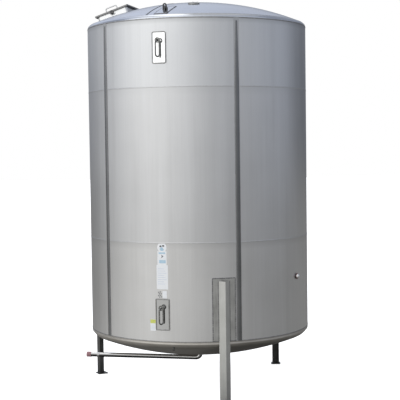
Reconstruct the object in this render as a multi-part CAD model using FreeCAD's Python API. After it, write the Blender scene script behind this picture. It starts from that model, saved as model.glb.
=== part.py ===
import FreeCAD, Part
import os
from math import acos, asin, cos, degrees, pi, radians, sin, sqrt

V = FreeCAD.Vector
UP = V(0, 0, 1)
os.makedirs("parts", exist_ok=True)

# Vertical insulated milk tank on three angle legs.
# Frame: millimetres, +Z up, floor at Z = 0, tank axis on Z.
# An azimuth is counted from -Y (the front) towards +X.

# ---- driving dimensions -------------------------------------------------
OUTER_R = 1200.0            # outside of the cladding
SKIN = 2.0                  # cladding, outer dome and outer bottom
FOAM = 80.0                 # foam in the wall
VESSEL_T = 3.0              # inner vessel plate
VESSEL_R = OUTER_R - SKIN - FOAM
DOME_CROWN_R = 3000.0
TOP_KNUCKLE = 45.0
TOP_TANGENT_Z = 3895.0      # the straight side ends here
BOTTOM_CROWN_R = 3100.0
LOW_KNUCKLE = 90.0
LOW_TANGENT_Z = 630.0
COURSE_Z = (1635.0, 3210.0)  # horizontal seams between the three courses
VESSEL_CROWN_R = 2500.0
VESSEL_KNUCKLE = 100.0
VESSEL_TOP_Z = 3775.0
VESSEL_LOW_Z = 720.0

PANELS = 5                  # cladding sheets round each course
FIRST_SEAM = 19.4           # azimuth of one upright seam
SEAM_GAP = 3.0
STRIP_W = 58.0
STRIP_T = 1.5
FOAM_BLOCKS = 15            # foam segments round the wall

JACKET_T = 8.0              # dimple jacket, vessel wall outwards
JACKET_LOW_Z = 760.0
JACKET_TOP_Z = 1900.0
STUB_R = 14.0
STUB_BORE_R = 12.0
STUB_AZIMUTH = 160.0
STUB_HEIGHTS = (820.0, 1840.0)
STUB_END_R = 1260.0

LEGS = 3
FIRST_LEG = 11.8            # azimuth of one leg
LEG_SIDE = 80.0             # equal angle section
LEG_T = 6.0
LEG_CORNER_R = 1262.0       # outer corner of the angle
LEG_TOP_Z = 1245.0
PAD_T = 4.0
PAD_W = 235.0
PAD_LOW_Z = 634.0
PAD_TOP_Z = 1272.0
FOOT_SIDE = 110.0
FOOT_T = 10.0
BOLT_CIRCLE_R = 1195.0
BOLT_HOLE_R = 8.0

PIPE_R = 26.5               # DN50 outlet, 53 mm outside
PIPE_T = 1.5
PIPE_Z = 243.0
BEND_R = 55.0
PIPE_AZIMUTH = -103.95
PIPE_FALL = 0.4             # degrees below level, towards the open end
PIPE_END_R = 1345.0
CLIP_R = 30.0
CLIP_W = 26.0
CLIP_T = 4.0
CLIP_TAB = (-38.0, 30.0)    # along the leg flange, from its edge
CLIP_BOLT_R = 7.0
CLIP_BOLT_H = 6.0
CLIP_BOLT_AT = -22.0
CAP_R = 30.0
CAP_T = 3.0
CAP_LENGTH = 52.0
CLEAR = 0.3                 # gap between pieces that move apart

EYE_AZIMUTH = -18.4         # side plates with lifting links
EYE_PLATE_W = 150.0
EYE_PLATE_H = 322.0
EYE_PLATE_T = 5.0
EYE_CENTRES = {"upper": 3603.0, "lower": 907.0}
PLATE_CORNERS = {"upper": 14.0, "lower": 4.0}
EYE_STAND_OFF = 40.0        # plate to the middle of the ring
EYE_RING_R = 27.0           # fixed ring, its bore square to the wall
EYE_BORE_R = 16.0
EYE_RING_T = 12.0
EYE_STEM_R = 7.0
EYE_STEM_TURN = 55.0        # each side of the ring's top
EYE_RISE = 72.0             # ring centre above plate centre
LINK_BAR_R = 7.5
LINK_W = 66.0
LINK_H = 176.0
LINK_TURN = -60.0           # link plane turned out of the wall plane
LINK_LIFT = 4.4             # clears the bore where the link bends away

LABEL_T = 0.6
LABEL_AZIMUTH = -18.4       # tall label with a round head
LABEL_LOW_Z = 1165.0
LABEL_TOP_Z = 1640.0
LABEL_STEP_Z = 1412.0       # wide part below, narrower part above
LABEL_NECK_Z = 1552.0       # the round head starts here
LABEL_HALF_W = 61.0
LABEL_UPPER_HALF_W = 49.0
LABEL_HEAD_R = 50.0
TAG_CORNER = 6.0
TAGS = {                    # azimuth, centre height, width, height
    "level": (-23.6, 795.0, 60.0, 116.0),
    "square": (-17.3, 1111.0, 46.0, 74.0),
}

PROBE_AZIMUTH = 59.0        # thermometer pocket
PROBE_Z = 1220.0
PROBE_R = 30.0
POCKET_BORE_R = 8.0
POCKET_REACH = 90.0         # into the milk
POCKET_END_T = 4.0
COLLAR_RISE = 10.0
PROBE_CAP_R = 27.0

MANWAY_AZIMUTH = -104.7
MANWAY_R = 887.0
MANWAY_Z = 4028.0           # middle of the neck, just under the dome
MANWAY_TILT = 18.0
NECK_L = 360.0              # along the slope
NECK_W = 410.0              # across the slope
NECK_T = 3.0
NECK_TOP = 92.0
NECK_DEPTH = 330.0
NECK_CORNER = 30.0
GASKET_H = 8.0
GASKET_OUT = 5.0            # each side of the neck's outer face
GASKET_IN = 10.0
LID_L = 400.0
LID_W = 450.0
LID_T = 3.0
SKIRT_T = 2.5
SKIRT_H = 17.0
LID_CORNER = 14.0
HINGE_PIN_R = 5.0
HINGE_BARREL_R = 9.0
HINGE_OUT = 15.0            # pin behind the lid edge
HINGE_X = 107.0
BARREL_L = 34.0
RUNNING = 0.05
PIN_END = 7.0
STRAP_L = 40.0
STRAP_T = 3.0
WEB_T = 4.0
BRACKET_T = 6.0
BRACKET_GAP = 1.0
BRACKET_DROP = 50.0         # foot of the bracket below the neck's top
BRACKET_FOOT_H = 26.0
BRACKET_IN = 9.0            # arm, towards the neck from the pin
BRACKET_OUT = 11.0
HANDLE_R = 6.0
HANDLE_SPAN = 130.0
HANDLE_H = 45.0
HANDLE_BEND_R = 16.0
HANDLE_IN = 45.0            # from the near edge of the lid
STUD_R = 5.0
STUD_Z = 72.0
STUD_LENGTH = 50.0
STUD_COLLAR_R = 11.0
STUD_COLLAR_L = 18.0
STUD_STOP_R = 8.0
STUD_STOP_L = 4.0
TONGUE_W = 32.0
TONGUE_T = 3.0
TONGUE_BELOW = 15.0
SLOT_GAP = 1.5
WING_GAP = 3.0
NUT_R = 10.0
NUT_L = 14.0
WING_L = 18.0
WING_OVERLAP = 2.0
WING_SPAN = (4.0, 13.0)     # along the nut
WING_T = 6.0

LUG_R = 1008.0              # dome lifting lugs
LUG_AZIMUTHS = (-18.2, 161.8)
LUG_T = 14.0
LUG_BASE = 62.0
LUG_RISE = 70.0
LUG_NOSE = 19.0             # half width at the round end
LUG_ROOT = 20.0             # drawn below the dome, then cut by it
LUG_HOLE_R = 10.0
LUG_HOLE_Z = 50.0
LUG_RIB_T = 8.0
LUG_RIBS = {-1: 95.0, 1: 42.0}  # reach uphill and downhill
LUG_RIB_H = 30.0
LUG_PAD_L = 292.0
LUG_PAD_W = 132.0
LUG_PAD_T = 4.0
LUG_PAD_CORNER = 12.0

VENT_AZIMUTH = -2.0         # low vent, square to the dome
VENT_PLACE_R = 677.0
VENT_R = 38.0
VENT_T = 2.0
VENT_RISE = 6.0
VENT_FLANGE_R = 62.0
VENT_FLANGE_T = 4.0
SPRAY_PIPE_R = 12.7
SPRAY_PIPE_T = 1.5
SPRAY_BALL_R = 32.0
SPRAY_BALL_T = 1.5
SPRAY_BALL_LAP = 4.0
SPRAY_DROP = 520.0

# Sizes of cutting bodies only; they reach past everything they cut.
CUT_TOP_Z = 5000.0
CUT_MARGIN = 200.0
VENT_DEPTH = 300.0


# ---- helpers ------------------------------------------------------------
def direction(azimuth):
    """Unit vector pointing outwards at an azimuth."""
    a = radians(azimuth)
    return V(sin(a), -cos(a), 0)


def placed(shape, origin, x_axis, z_axis):
    """Put a shape drawn about the origin into a local frame."""
    z = V(z_axis).normalize()
    x = V(x_axis).normalize()
    y = z.cross(x)
    matrix = FreeCAD.Matrix(
        x.x, y.x, z.x, origin.x,
        x.y, y.y, z.y, origin.y,
        x.z, y.z, z.z, origin.z,
        0, 0, 0, 1)
    copy = shape.copy()
    copy.Placement = FreeCAD.Placement(matrix).multiply(shape.Placement)
    return copy


def box(x0, x1, y0, y1, z0, z1):
    return Part.makeBox(x1 - x0, y1 - y0, z1 - z0, V(x0, y0, z0))


def rounded_box(length, width, z0, z1, corner):
    """Block with rounded upright edges, centred on the local Z axis."""
    block = box(-length / 2, length / 2, -width / 2, width / 2, z0, z1)
    edges = [e for e in block.Edges if abs(e.tangentAt(e.FirstParameter).z) > 0.9]
    return block.makeFillet(corner, edges)


def tube(radius, bore, base, axis, length):
    outer = Part.makeCylinder(radius, length, base, axis)
    return outer.cut(Part.makeCylinder(bore, length, base, axis))


def ring(r_out, r_in, z0, z1):
    return tube(r_out, r_in, V(0, 0, z0), UP, z1 - z0)


def wedge(azimuth_0, azimuth_1, z0, z1):
    """Sector of a tall cylinder, used to cut rings into sheets."""
    reach = OUTER_R * 2
    sector = Part.makeCylinder(reach, z1 - z0, V(0, 0, z0), UP, azimuth_1 - azimuth_0)
    sector.rotate(V(0, 0, 0), UP, azimuth_0 - 90)
    return sector


def head(radius, crown, knuckle, tangent_z, way, mid_z):
    """Solid under (way = 1) or over (way = -1) a dished head, as far as mid_z."""
    centre_r = radius - knuckle
    lift = sqrt((crown - knuckle) ** 2 - centre_r ** 2)
    crown_z = tangent_z - way * lift
    lean = acos(centre_r / (crown - knuckle))
    joint = V(crown * cos(lean), 0, crown_z + way * crown * sin(lean))
    half = (lean + pi / 2) / 2
    apex = V(0, 0, crown_z + way * crown)
    on_crown = V(crown * cos(half), 0, crown_z + way * crown * sin(half))
    on_knuckle = V(centre_r + knuckle * cos(lean / 2), 0,
                   tangent_z + way * knuckle * sin(lean / 2))
    side = V(radius, 0, tangent_z)
    edges = [
        Part.Arc(apex, on_crown, joint).toShape(),
        Part.Arc(joint, on_knuckle, side).toShape(),
        Part.makeLine(side, V(radius, 0, mid_z)),
        Part.makeLine(V(radius, 0, mid_z), V(0, 0, mid_z)),
        Part.makeLine(V(0, 0, mid_z), apex),
    ]
    return Part.Face(Part.Wire(edges)).revolve(V(0, 0, 0), UP, 360)


def vessel(inset, radius, top, low):
    """Closed tank shape, inset; each head is (crown, knuckle, tangent height)."""
    middle = (top[2] + low[2]) / 2
    upper = head(radius - inset, top[0] - inset, top[1] - inset, top[2], 1, middle)
    lower = head(radius - inset, low[0] - inset, low[1] - inset, low[2], -1, middle)
    return upper.fuse(lower)


def outer_form(inset):
    return vessel(inset, OUTER_R, (DOME_CROWN_R, TOP_KNUCKLE, TOP_TANGENT_Z),
                  (BOTTOM_CROWN_R, LOW_KNUCKLE, LOW_TANGENT_Z))


def inner_form(inset):
    return vessel(inset, VESSEL_R, (VESSEL_CROWN_R, VESSEL_KNUCKLE, VESSEL_TOP_Z),
                  (VESSEL_CROWN_R, VESSEL_KNUCKLE, VESSEL_LOW_Z))


def dome_z(r):
    """Height of the outer dome's crown at a radius."""
    lift = sqrt((DOME_CROWN_R - TOP_KNUCKLE) ** 2 - (OUTER_R - TOP_KNUCKLE) ** 2)
    return TOP_TANGENT_Z - lift + sqrt(DOME_CROWN_R ** 2 - r ** 2)


def bottom_z(r):
    """Height of the vessel bottom's inner face at a radius."""
    crown = VESSEL_CROWN_R - VESSEL_T
    lift = sqrt((VESSEL_CROWN_R - VESSEL_KNUCKLE) ** 2 - (VESSEL_R - VESSEL_KNUCKLE) ** 2)
    return VESSEL_LOW_Z + lift - sqrt(crown ** 2 - r ** 2)


def slab(z0, z1):
    reach = OUTER_R + CUT_MARGIN
    return box(-reach, reach, -reach, reach, z0, z1)


def joined(pieces):
    body = pieces[0]
    for piece in pieces[1:]:
        body = body.fuse(piece)
    return body.removeSplitter()


NODES = {}


def add(name, *solids):
    """Keep a node: one solid, or a group of separate solids."""
    NODES[name] = solids[0] if len(solids) == 1 else Part.makeCompound(list(solids))


# ---- manway frame -------------------------------------------------------
manway_out = direction(MANWAY_AZIMUTH)
tilt = radians(MANWAY_TILT)
manway_up = UP * cos(tilt) + manway_out * sin(tilt)
manway_x = UP * sin(tilt) - manway_out * cos(tilt)
manway_origin = manway_out * MANWAY_R + UP * MANWAY_Z


def on_manway(shape):
    return placed(shape, manway_origin, manway_x, manway_up)


def neck_block(inset, z0, z1):
    return rounded_box(NECK_L - 2 * inset, NECK_W - 2 * inset, z0, z1, NECK_CORNER - inset)


# ---- vent frame ---------------------------------------------------------
vent_out = direction(VENT_AZIMUTH)
vent_slope = asin(VENT_PLACE_R / DOME_CROWN_R)
vent_up = UP * cos(vent_slope) + vent_out * sin(vent_slope)
vent_origin = vent_out * VENT_PLACE_R + UP * dome_z(VENT_PLACE_R)


def on_vent(shape):
    return placed(shape, vent_origin, UP.cross(vent_out), vent_up)


# ---- vessel, foam and cladding ------------------------------------------
vent_hole = on_vent(Part.makeCylinder(VENT_R, 2 * VENT_DEPTH, V(0, 0, -VENT_DEPTH), UP))
manway_hole = on_manway(neck_block(0, -NECK_DEPTH, NECK_TOP))
outlet_hole = Part.makeCylinder(PIPE_R, LOW_TANGENT_Z, V(0, 0, 0), UP)
stub_out = direction(STUB_AZIMUTH)
stub_holes = [Part.makeCylinder(STUB_R, OUTER_R, V(0, 0, z), stub_out) for z in STUB_HEIGHTS]
probe_out = direction(PROBE_AZIMUTH)
probe_hole = Part.makeCylinder(STUB_R, OUTER_R, V(0, 0, PROBE_Z), probe_out)

vessel_outside = inner_form(0)
vessel_inside = inner_form(VESSEL_T)
vessel_skin = vessel_outside.cut(vessel_inside)
add("inner_top", vessel_skin.common(slab(VESSEL_TOP_Z, CUT_TOP_Z)).cut(vent_hole).cut(manway_hole))
add("inner_bottom", vessel_skin.common(slab(0, VESSEL_LOW_Z)).cut(outlet_hole))
vessel_wall = ring(VESSEL_R, VESSEL_R - VESSEL_T, VESSEL_LOW_Z, VESSEL_TOP_Z)
add("inner_shell", vessel_wall.cut(manway_hole).cut(probe_hole))

jacket = ring(VESSEL_R + JACKET_T, VESSEL_R, JACKET_LOW_Z, JACKET_TOP_Z)
add("cooling_jacket", jacket.cut(probe_hole))

foam_form = outer_form(SKIN)
foam_body = foam_form.cut(vessel_outside)
foam_top = foam_body.common(slab(VESSEL_TOP_Z, CUT_TOP_Z))
add("foam_top", foam_top.cut(vent_hole).cut(manway_hole))
add("foam_bottom", foam_body.common(slab(0, VESSEL_LOW_Z)).cut(outlet_hole))
foam_wall = ring(OUTER_R - SKIN, VESSEL_R, VESSEL_LOW_Z, VESSEL_TOP_Z)
for taken in [jacket, probe_hole, manway_hole] + stub_holes:
    foam_wall = foam_wall.cut(taken)
foam_span = 360 / FOAM_BLOCKS
blocks = []
for i in range(FOAM_BLOCKS):
    start = FIRST_SEAM + i * foam_span
    block = foam_wall.common(wedge(start, start + foam_span, VESSEL_LOW_Z, VESSEL_TOP_Z))
    blocks += block.Solids
add("foam_wall", *blocks)

outer_skin = outer_form(0).cut(foam_form)
dome = outer_skin.common(slab(TOP_TANGENT_Z, CUT_TOP_Z)).cut(vent_hole).cut(manway_hole)
add("outer_dome", dome)
add("outer_bottom", outer_skin.common(slab(0, LOW_TANGENT_Z)).cut(outlet_hole))

half_gap = degrees(SEAM_GAP / 2 / OUTER_R)
half_strip = degrees(STRIP_W / 2 / OUTER_R)
span = 360 / PANELS
COURSES = {
    "lower": (LOW_TANGENT_Z, COURSE_Z[0]),
    "middle": COURSE_Z,
    "top": (COURSE_Z[1], TOP_TANGENT_Z),
}
top_sheets = []
for i in range(PANELS):
    seam = FIRST_SEAM + i * span
    for course, (z0, z1) in COURSES.items():
        sheet = ring(OUTER_R, OUTER_R - SKIN, z0, z1)
        sheet = sheet.common(wedge(seam + half_gap, seam + span - half_gap, z0, z1))
        for hole in [probe_hole] + stub_holes:
            sheet = sheet.cut(hole)
        if course == "top":
            top_sheets.append(sheet)
        else:
            add("cladding_%s_%d" % (course, i + 1), sheet)
add("cladding_top", *top_sheets)
strips = []
for i in range(PANELS):
    seam = FIRST_SEAM + i * span
    strip = ring(OUTER_R + STRIP_T, OUTER_R, LOW_TANGENT_Z, TOP_TANGENT_Z)
    strips.append(strip.common(wedge(seam - half_strip, seam + half_strip,
                                     LOW_TANGENT_Z, TOP_TANGENT_Z)))

# ---- cooling connections and thermometer pocket -------------------------
stubs = []
for z in STUB_HEIGHTS:
    base = stub_out * (VESSEL_R + JACKET_T) + UP * z
    stub = tube(STUB_R, STUB_BORE_R, base, stub_out, STUB_END_R - VESSEL_R - JACKET_T)
    stubs.append(stub.cut(ring(VESSEL_R + JACKET_T, VESSEL_R, z - 2 * STUB_R, z + 2 * STUB_R)))
add("coolant_stubs", *stubs)

pocket_start = probe_out * (VESSEL_R - POCKET_REACH) + UP * PROBE_Z
pocket_length = OUTER_R + COLLAR_RISE - VESSEL_R + POCKET_REACH
pocket = tube(STUB_R, POCKET_BORE_R, pocket_start, probe_out, pocket_length)
pocket_end = Part.makeCylinder(STUB_R, POCKET_END_T, pocket_start - probe_out * POCKET_END_T,
                               probe_out)
collar = tube(PROBE_R, STUB_R, probe_out * (OUTER_R - SKIN) + UP * PROBE_Z, probe_out,
              SKIN + COLLAR_RISE)
collar = collar.cut(Part.makeCylinder(OUTER_R, 4 * PROBE_R, UP * (PROBE_Z - 2 * PROBE_R), UP))
add("probe_pocket", joined([pocket, pocket_end, collar]))
probe_cap_base = probe_out * (OUTER_R + COLLAR_RISE) + UP * PROBE_Z
probe_ball = Part.makeSphere(PROBE_CAP_R, probe_cap_base)
cap_half = Part.makeCylinder(PROBE_R, 2 * PROBE_R, probe_cap_base, probe_out)
add("probe_cap", probe_ball.common(cap_half))

# ---- legs, pads and feet ------------------------------------------------
for i in range(LEGS):
    azimuth = FIRST_LEG + i * 360 / LEGS
    leg_out = direction(azimuth)
    pad_half = degrees(PAD_W / 2 / OUTER_R)
    pad = ring(OUTER_R + PAD_T, OUTER_R, PAD_LOW_Z, PAD_TOP_Z)
    pad = pad.common(wedge(azimuth - pad_half, azimuth + pad_half, PAD_LOW_Z, PAD_TOP_Z))
    for strip in strips:
        if pad.common(strip).Volume > 0:
            pad = pad.cut(strip)
    angle = box(0, LEG_SIDE, 0, LEG_SIDE, FOOT_T, LEG_TOP_Z)
    angle = angle.cut(box(LEG_T, LEG_SIDE, LEG_T, LEG_SIDE, FOOT_T, LEG_TOP_Z))
    inward = (UP.cross(leg_out) - leg_out).normalize()
    leg = placed(angle, leg_out * LEG_CORNER_R, inward, UP)
    core = Part.makeCylinder(OUTER_R + PAD_T, LEG_TOP_Z, V(0, 0, FOOT_T), UP)
    leg = leg.cut(core)
    foot = box(-FOOT_SIDE / 2, FOOT_SIDE / 2, -FOOT_SIDE / 2, FOOT_SIDE / 2, 0, FOOT_T)
    foot = placed(foot, leg_out * (LEG_CORNER_R - FOOT_SIDE / 2), inward, UP)
    foot = foot.cut(Part.makeCylinder(BOLT_HOLE_R, FOOT_T, leg_out * BOLT_CIRCLE_R, UP))
    add("leg_pad_%d" % (i + 1), pad)
    add("leg_%d" % (i + 1), leg)
    add("foot_plate_%d" % (i + 1), foot)
add("cover_strips", *strips)

# ---- outlet -------------------------------------------------------------
pipe_out = direction(PIPE_AZIMUTH)
fall = radians(PIPE_FALL)
pipe_way = pipe_out * cos(fall) - UP * sin(fall)
bend_top = V(0, 0, PIPE_Z + BEND_R)
bend_centre = pipe_out * BEND_R + bend_top


def on_bend(angle):
    return bend_centre + pipe_out * (BEND_R * cos(angle)) + UP * (BEND_R * sin(angle))


bend_end = on_bend(1.5 * pi - fall)
neck_top = V(0, 0, bottom_z(0))
route = Part.Wire([
    Part.makeLine(neck_top, bend_top),
    Part.Arc(bend_top, on_bend(1.25 * pi), bend_end).toShape(),
])


def swept(radius):
    profile = Part.Wire(Part.makeCircle(radius, neck_top, UP))
    return route.makePipeShell([profile], True, False)


elbow = swept(PIPE_R).cut(swept(PIPE_R - PIPE_T)).cut(vessel_inside)
add("outlet_elbow", elbow)
pipe_length = PIPE_END_R - BEND_R
add("outlet_pipe", tube(PIPE_R, PIPE_R - PIPE_T, bend_end, pipe_way, pipe_length))
cap_start = bend_end + pipe_way * (pipe_length + CLEAR + CAP_T - CAP_LENGTH)
cap = Part.makeCylinder(CAP_R, CAP_LENGTH, cap_start, pipe_way)
cap = cap.cut(Part.makeCylinder(PIPE_R + CLEAR, CAP_LENGTH - CAP_T, cap_start, pipe_way))
add("outlet_cap", cap)

# The clip holds the pipe to the near flange of the leg that it passes.
passed_leg = direction(FIRST_LEG - 360 / LEGS)
flange_way = (UP.cross(passed_leg) - passed_leg).normalize()
flange_edge = passed_leg * LEG_CORNER_R + flange_way * LEG_SIDE
along = (flange_edge - bend_end).dot(pipe_way)
clip_centre = bend_end + pipe_way * along
clip_ring = Part.makeCylinder(CLIP_R, CLIP_W, clip_centre - pipe_way * (CLIP_W / 2), pipe_way)
clip_tab = box(CLIP_TAB[0], CLIP_TAB[1], -CLIP_T, 0, -CLIP_W / 2, CLIP_W / 2)
clip_bolt = Part.makeCylinder(CLIP_BOLT_R, CLIP_BOLT_H, V(CLIP_BOLT_AT, -CLIP_T, 0), V(0, -1, 0))
tab_place = V(flange_edge.x, flange_edge.y, clip_centre.z)
clip_tab = placed(joined([clip_tab, clip_bolt]), tab_place, flange_way, UP)
clip = joined([clip_ring, clip_tab])
pipe_core = Part.makeCylinder(PIPE_R, 4 * CLIP_W, clip_centre - pipe_way * (2 * CLIP_W), pipe_way)
add("pipe_clip", clip.cut(pipe_core).cut(NODES["leg_%d" % LEGS]))

# ---- side plates, fixed loops and links ---------------------------------
eye_out = direction(EYE_AZIMUTH)
eye_side = UP.cross(eye_out)


def wall_plate(azimuth, width, height, thickness, centre_z, corner):
    """Curved plate that lies on the cladding."""
    face = direction(azimuth)
    block = rounded_box(width, height, 0, OUTER_R + CUT_MARGIN, corner)
    block = placed(block, UP * centre_z, UP.cross(face), face)
    shell = ring(OUTER_R + thickness, OUTER_R, centre_z - height, centre_z + height)
    return shell.common(block)


def oval(width, height, bar_r):
    """Round bar bent to a long loop in the local XZ plane."""
    r = width / 2 - bar_r
    half = height / 2 - width / 2
    path = Part.Wire([
        Part.makeLine(V(r, 0, -half), V(r, 0, half)),
        Part.Arc(V(r, 0, half), V(0, 0, half + r), V(-r, 0, half)).toShape(),
        Part.makeLine(V(-r, 0, half), V(-r, 0, -half)),
        Part.Arc(V(-r, 0, -half), V(0, 0, -half - r), V(r, 0, -half)).toShape(),
    ])
    profile = Part.Wire(Part.makeCircle(bar_r, V(r, 0, -half), UP))
    return path.makePipeShell([profile], True, False)


plates = []
for level, centre_z in EYE_CENTRES.items():
    plates.append(wall_plate(EYE_AZIMUTH, EYE_PLATE_W, EYE_PLATE_H, EYE_PLATE_T, centre_z,
                             PLATE_CORNERS[level]))
    stand = OUTER_R + EYE_PLATE_T + EYE_STAND_OFF
    ring_z = centre_z + EYE_RISE
    ring_base = eye_out * (stand - EYE_RING_T / 2) + UP * ring_z
    fixed_ring = tube(EYE_RING_R, EYE_BORE_R, ring_base, eye_out, EYE_RING_T)
    stem_r = (EYE_RING_R + EYE_BORE_R) / 2
    stems = []
    for turn in (-1, 1):
        lean = radians(EYE_STEM_TURN)
        root = eye_side * (turn * stem_r * sin(lean)) + UP * (ring_z + stem_r * cos(lean))
        stems.append(Part.makeCylinder(EYE_STEM_R, stand, root, eye_out))
    eye = joined([fixed_ring] + stems)
    bore = Part.makeCylinder(EYE_BORE_R, stand + EYE_RING_T, UP * ring_z, eye_out)
    wall = Part.makeCylinder(OUTER_R + EYE_PLATE_T, 4 * EYE_RING_R, UP * (ring_z - 2 * EYE_RING_R), UP)
    add("lift_eye_" + level, eye.cut(bore).cut(wall))
    link_top = ring_z - EYE_BORE_R + 2 * LINK_BAR_R + LINK_LIFT
    turn = radians(LINK_TURN)
    link_x = eye_side * cos(turn) + eye_out * sin(turn)
    link_centre = eye_out * stand + UP * (link_top - LINK_H / 2)
    add("lift_link_" + level, placed(oval(LINK_W, LINK_H, LINK_BAR_R), link_centre, link_x, UP))
add("lift_plates", *plates)

# ---- labels -------------------------------------------------------------
label_mid = (LABEL_LOW_Z + LABEL_TOP_Z) / 2
low_y = LABEL_LOW_Z - label_mid
step_y = LABEL_STEP_Z - label_mid
neck_y = LABEL_NECK_Z - label_mid
top_y = LABEL_TOP_Z - label_mid
head_y = top_y - LABEL_HEAD_R
neck_x = sqrt(LABEL_HEAD_R ** 2 - (head_y - neck_y) ** 2)
outline = [
    V(neck_x, neck_y, 0), V(LABEL_UPPER_HALF_W, neck_y, 0), V(LABEL_UPPER_HALF_W, step_y, 0),
    V(LABEL_HALF_W, step_y, 0), V(LABEL_HALF_W, low_y, 0), V(-LABEL_HALF_W, low_y, 0),
    V(-LABEL_HALF_W, step_y, 0), V(-LABEL_UPPER_HALF_W, step_y, 0),
    V(-LABEL_UPPER_HALF_W, neck_y, 0), V(-neck_x, neck_y, 0),
]
sides = [Part.makeLine(a, b) for a, b in zip(outline, outline[1:])]
sides.append(Part.Arc(outline[-1], V(0, top_y, 0), outline[0]).toShape())
label_out = direction(LABEL_AZIMUTH)
label_block = Part.Face(Part.Wire(sides)).extrude(V(0, 0, 2 * OUTER_R))
label_block = placed(label_block, UP * label_mid, UP.cross(label_out), label_out)
label_ring = ring(OUTER_R + LABEL_T, OUTER_R, LABEL_LOW_Z, LABEL_TOP_Z)
tags = [wall_plate(azimuth, width, height, LABEL_T, z, TAG_CORNER)
        for azimuth, z, width, height in TAGS.values()]
add("labels", label_ring.common(label_block), *tags)

# ---- manway -------------------------------------------------------------
neck = neck_block(0, -NECK_DEPTH, NECK_TOP).cut(neck_block(NECK_T, -NECK_DEPTH, NECK_TOP))
add("manway_neck", on_manway(neck).cut(vessel_inside))

lid_under = NECK_TOP + CLEAR + GASKET_H
lid_top = lid_under + LID_T
gasket = neck_block(-GASKET_OUT, NECK_TOP + CLEAR, lid_under)
gasket = gasket.cut(neck_block(GASKET_IN, NECK_TOP + CLEAR, lid_under))
add("manway_gasket", on_manway(gasket))

pan = rounded_box(LID_L, LID_W, lid_top - SKIRT_H, lid_top, LID_CORNER)
pan = pan.cut(rounded_box(LID_L - 2 * SKIRT_T, LID_W - 2 * SKIRT_T,
                          lid_top - SKIRT_H, lid_under, LID_CORNER - SKIRT_T))
add("manway_lid", on_manway(pan))

half = HANDLE_SPAN / 2
handle_y = -LID_W / 2 + HANDLE_IN
bend = HANDLE_BEND_R
low = lid_top
high = lid_top + HANDLE_H
cut45 = bend * (1 - cos(pi / 4))
handle_path = Part.Wire([
    Part.makeLine(V(-half, handle_y, low), V(-half, handle_y, high - bend)),
    Part.Arc(V(-half, handle_y, high - bend), V(-half + cut45, handle_y, high - cut45),
             V(-half + bend, handle_y, high)).toShape(),
    Part.makeLine(V(-half + bend, handle_y, high), V(half - bend, handle_y, high)),
    Part.Arc(V(half - bend, handle_y, high), V(half - cut45, handle_y, high - cut45),
             V(half, handle_y, high - bend)).toShape(),
    Part.makeLine(V(half, handle_y, high - bend), V(half, handle_y, low)),
])
handle_circle = Part.Wire(Part.makeCircle(HANDLE_R, V(-half, handle_y, low), UP))
add("lid_handle", on_manway(handle_path.makePipeShell([handle_circle], True, False)))

pin_y = LID_W / 2 + HINGE_OUT
pin_z = lid_top - HINGE_BARREL_R
along_x = V(1, 0, 0)
pin_half = HINGE_X + BARREL_L / 2 + BRACKET_GAP + BRACKET_T + PIN_END
bracket_low = NECK_TOP - BRACKET_DROP
pin = Part.makeCylinder(HINGE_PIN_R, 2 * pin_half, V(-pin_half, pin_y, pin_z), along_x)
add("hinge_pin", on_manway(pin))
leaves = []
brackets = []
for turn in (-1, 1):
    x0 = turn * HINGE_X - BARREL_L / 2
    barrel = Part.makeCylinder(HINGE_BARREL_R, BARREL_L, V(x0, pin_y, pin_z), along_x)
    strap = box(x0, x0 + BARREL_L, LID_W / 2 - STRAP_L, pin_y, lid_top, lid_top + STRAP_T)
    web = box(x0, x0 + BARREL_L, pin_y - WEB_T, pin_y, pin_z, lid_top + STRAP_T)
    leaf = joined([barrel, strap, web])
    bore = Part.makeCylinder(HINGE_PIN_R + RUNNING, BARREL_L, V(x0, pin_y, pin_z), along_x)
    leaves.append(on_manway(leaf.cut(bore)))
    edge = turn * (HINGE_X + BARREL_L / 2 + BRACKET_GAP)
    x1 = min(edge, edge + turn * BRACKET_T)
    x2 = x1 + BRACKET_T
    ear = Part.makeCylinder(BRACKET_OUT, BRACKET_T, V(x1, pin_y, pin_z), along_x)
    arm = box(x1, x2, pin_y - BRACKET_IN, pin_y + BRACKET_OUT, bracket_low, pin_z)
    root = box(x1, x2, NECK_W / 2, pin_y + BRACKET_OUT, bracket_low, bracket_low + BRACKET_FOOT_H)
    pin_hole = Part.makeCylinder(HINGE_PIN_R, BRACKET_T, V(x1, pin_y, pin_z), along_x)
    brackets.append(on_manway(joined([ear, arm, root]).cut(pin_hole)))
add("lid_hinge_leaves", *leaves)
add("hinge_brackets", *brackets)

away = V(0, -1, 0)
wall_y = -NECK_W / 2
edge_y = -LID_W / 2
stud = Part.makeCylinder(STUD_R, STUD_LENGTH, V(0, wall_y, STUD_Z), away)
stud_collar = Part.makeCylinder(STUD_COLLAR_R, STUD_COLLAR_L, V(0, wall_y, STUD_Z), away)
stop = Part.makeCylinder(STUD_STOP_R, STUD_STOP_L, V(0, wall_y - STUD_LENGTH, STUD_Z), away)
add("catch_stud", on_manway(joined([stud, stud_collar, stop])))
slot_half = STUD_R + SLOT_GAP
tongue_low = STUD_Z - TONGUE_BELOW
tongue = box(-TONGUE_W / 2, TONGUE_W / 2, edge_y - TONGUE_T, edge_y, tongue_low, lid_top)
slot = box(-slot_half, slot_half, edge_y - TONGUE_T, edge_y, tongue_low, STUD_Z)
slot_end = Part.makeCylinder(slot_half, TONGUE_T, V(0, edge_y, STUD_Z), away)
add("catch_tongue", on_manway(tongue.cut(slot).cut(slot_end)))
nut_y = edge_y - TONGUE_T - WING_GAP
nut_body = Part.makeCylinder(NUT_R, NUT_L, V(0, nut_y, STUD_Z), away)
wings = []
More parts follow.
